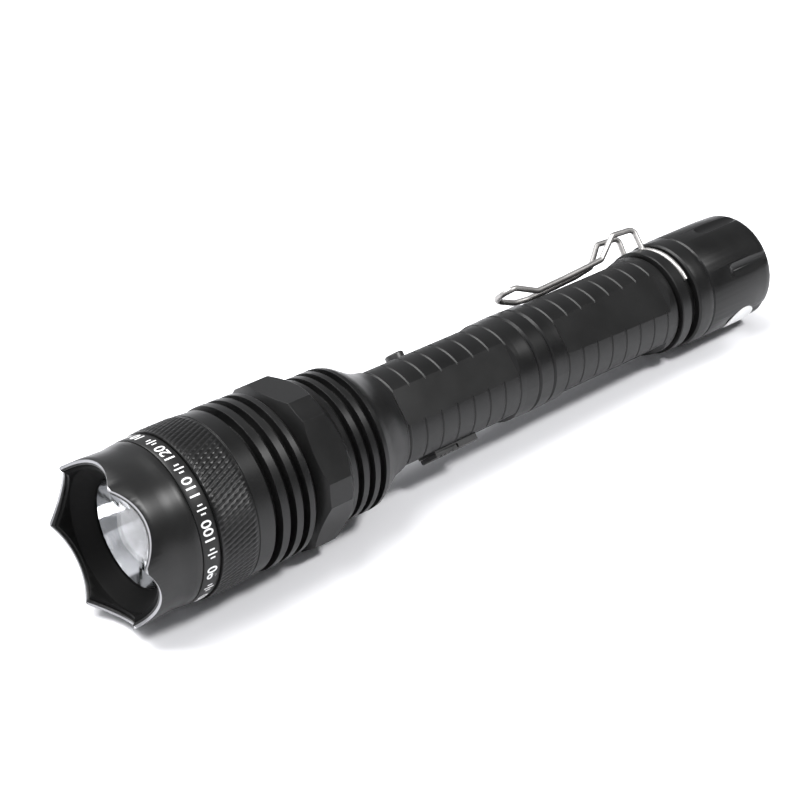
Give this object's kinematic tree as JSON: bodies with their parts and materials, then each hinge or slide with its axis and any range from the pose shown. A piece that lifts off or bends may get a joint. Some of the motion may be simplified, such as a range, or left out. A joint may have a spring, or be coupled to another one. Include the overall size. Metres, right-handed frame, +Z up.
{
  "type": "tactical flashlight",
  "caption": "Black aluminium tactical flashlight with a scalloped strike crown, finned hexagonal head, flat-sided ringed barrel, push button, slide switch, wire clip and screw tail cap.",
  "frame": {"origin": "centre of the flat tail face, on the lamp's axis", "axes": "+X along the lamp from tail to crown; +Z up with the lamp lying on its side as on a table; the button's flat is 41.4 degrees from up, toward -Y"},
  "size_m": [0.203, 0.0396, 0.0388],
  "materials": {
    "anodised": "black satin hard-anodised",
    "liner_black": "matt black",
    "lens_glass": "clear, coated",
    "seal_rubber": "matt black",
    "reflector_mirror": "vacuum-metallised, smooth",
    "white_plastic": "white",
    "led_yellow": "phosphor under a clear dome",
    "board_white": "white solder mask",
    "bare_aluminium": "turned, bare",
    "board_green": "green solder mask",
    "component_black": "black moulded",
    "band_black": "black satin with white engraved graduations",
    "button_black": "black rubber",
    "switch_black": "black moulded",
    "spring_brass": "plated spring wire",
    "cell_steel": "plated steel can",
    "sleeve_blue": "shrink sleeve",
    "clip_steel": "satin spring wire",
    "contact_brass": "plated",
    "label_white": "blank white paper label"
  },
  "bodies": {
    "chassis": {"strike_bezel": "anodised", "bezel_liner": "liner_black", "front_lens": "lens_glass", "lens_seal": "seal_rubber", "reflector": "reflector_mirror", "led_ring": "white_plastic", "led_chip": "led_yellow", "led_board": "board_white", "heat_sink": "bare_aluminium", "driver_board": "board_green", "driver_parts": "component_black", "index_band": "band_black", "head_shell": "anodised", "switch_housing": "anodised", "switch_board": "board_green", "tactile_switch": "component_black", "slide_plate": "switch_black", "slide_stop": "switch_black", "slide_switch": "component_black", "barrel_seal": "seal_rubber", "battery_tube": "anodised", "contact_disc": "board_green", "contact_spring": "spring_brass", "battery_cell": "cell_steel", "cell_sleeve": "sleeve_blue", "wire_clip": "clip_steel", "tail_seal": "seal_rubber"},
    "button": {"push_button": "button_black"},
    "slider": {"slide_knob": "switch_black", "slide_lever": "white_plastic"},
    "tail_carrier": {"tail_contact": "contact_brass", "tail_spring": "spring_brass"},
    "cap": {"tail_cap": "anodised", "tail_label": "label_white"}
  },
  "joints": [
    {"name": "button_press", "type": "slide", "parent": "chassis", "child": "button", "axis": [0, 0.6613, -0.7501], "range_m": [0, 0.0008], "stiffness_N_per_m": 1500, "springref_m": -0.0005},
    {"name": "switch_slide", "type": "slide", "parent": "chassis", "child": "slider", "axis": [1, 0, 0], "range_m": [0, 0.0024]},
    {"name": "cap_travel", "type": "slide", "parent": "chassis", "child": "tail_carrier", "axis": [-1, 0, 0], "range_m": [0, 0.012]},
    {"name": "cap_turn", "type": "hinge", "parent": "tail_carrier", "child": "cap", "pos_m": [0.014, 0, 0], "axis": [-1, 0, 0], "range_deg": [0, 2882]}
  ],
  "couplings": [
    {"joint": "cap_turn", "follows": "cap_travel", "rad_per_m": 4188.8}
  ]
}
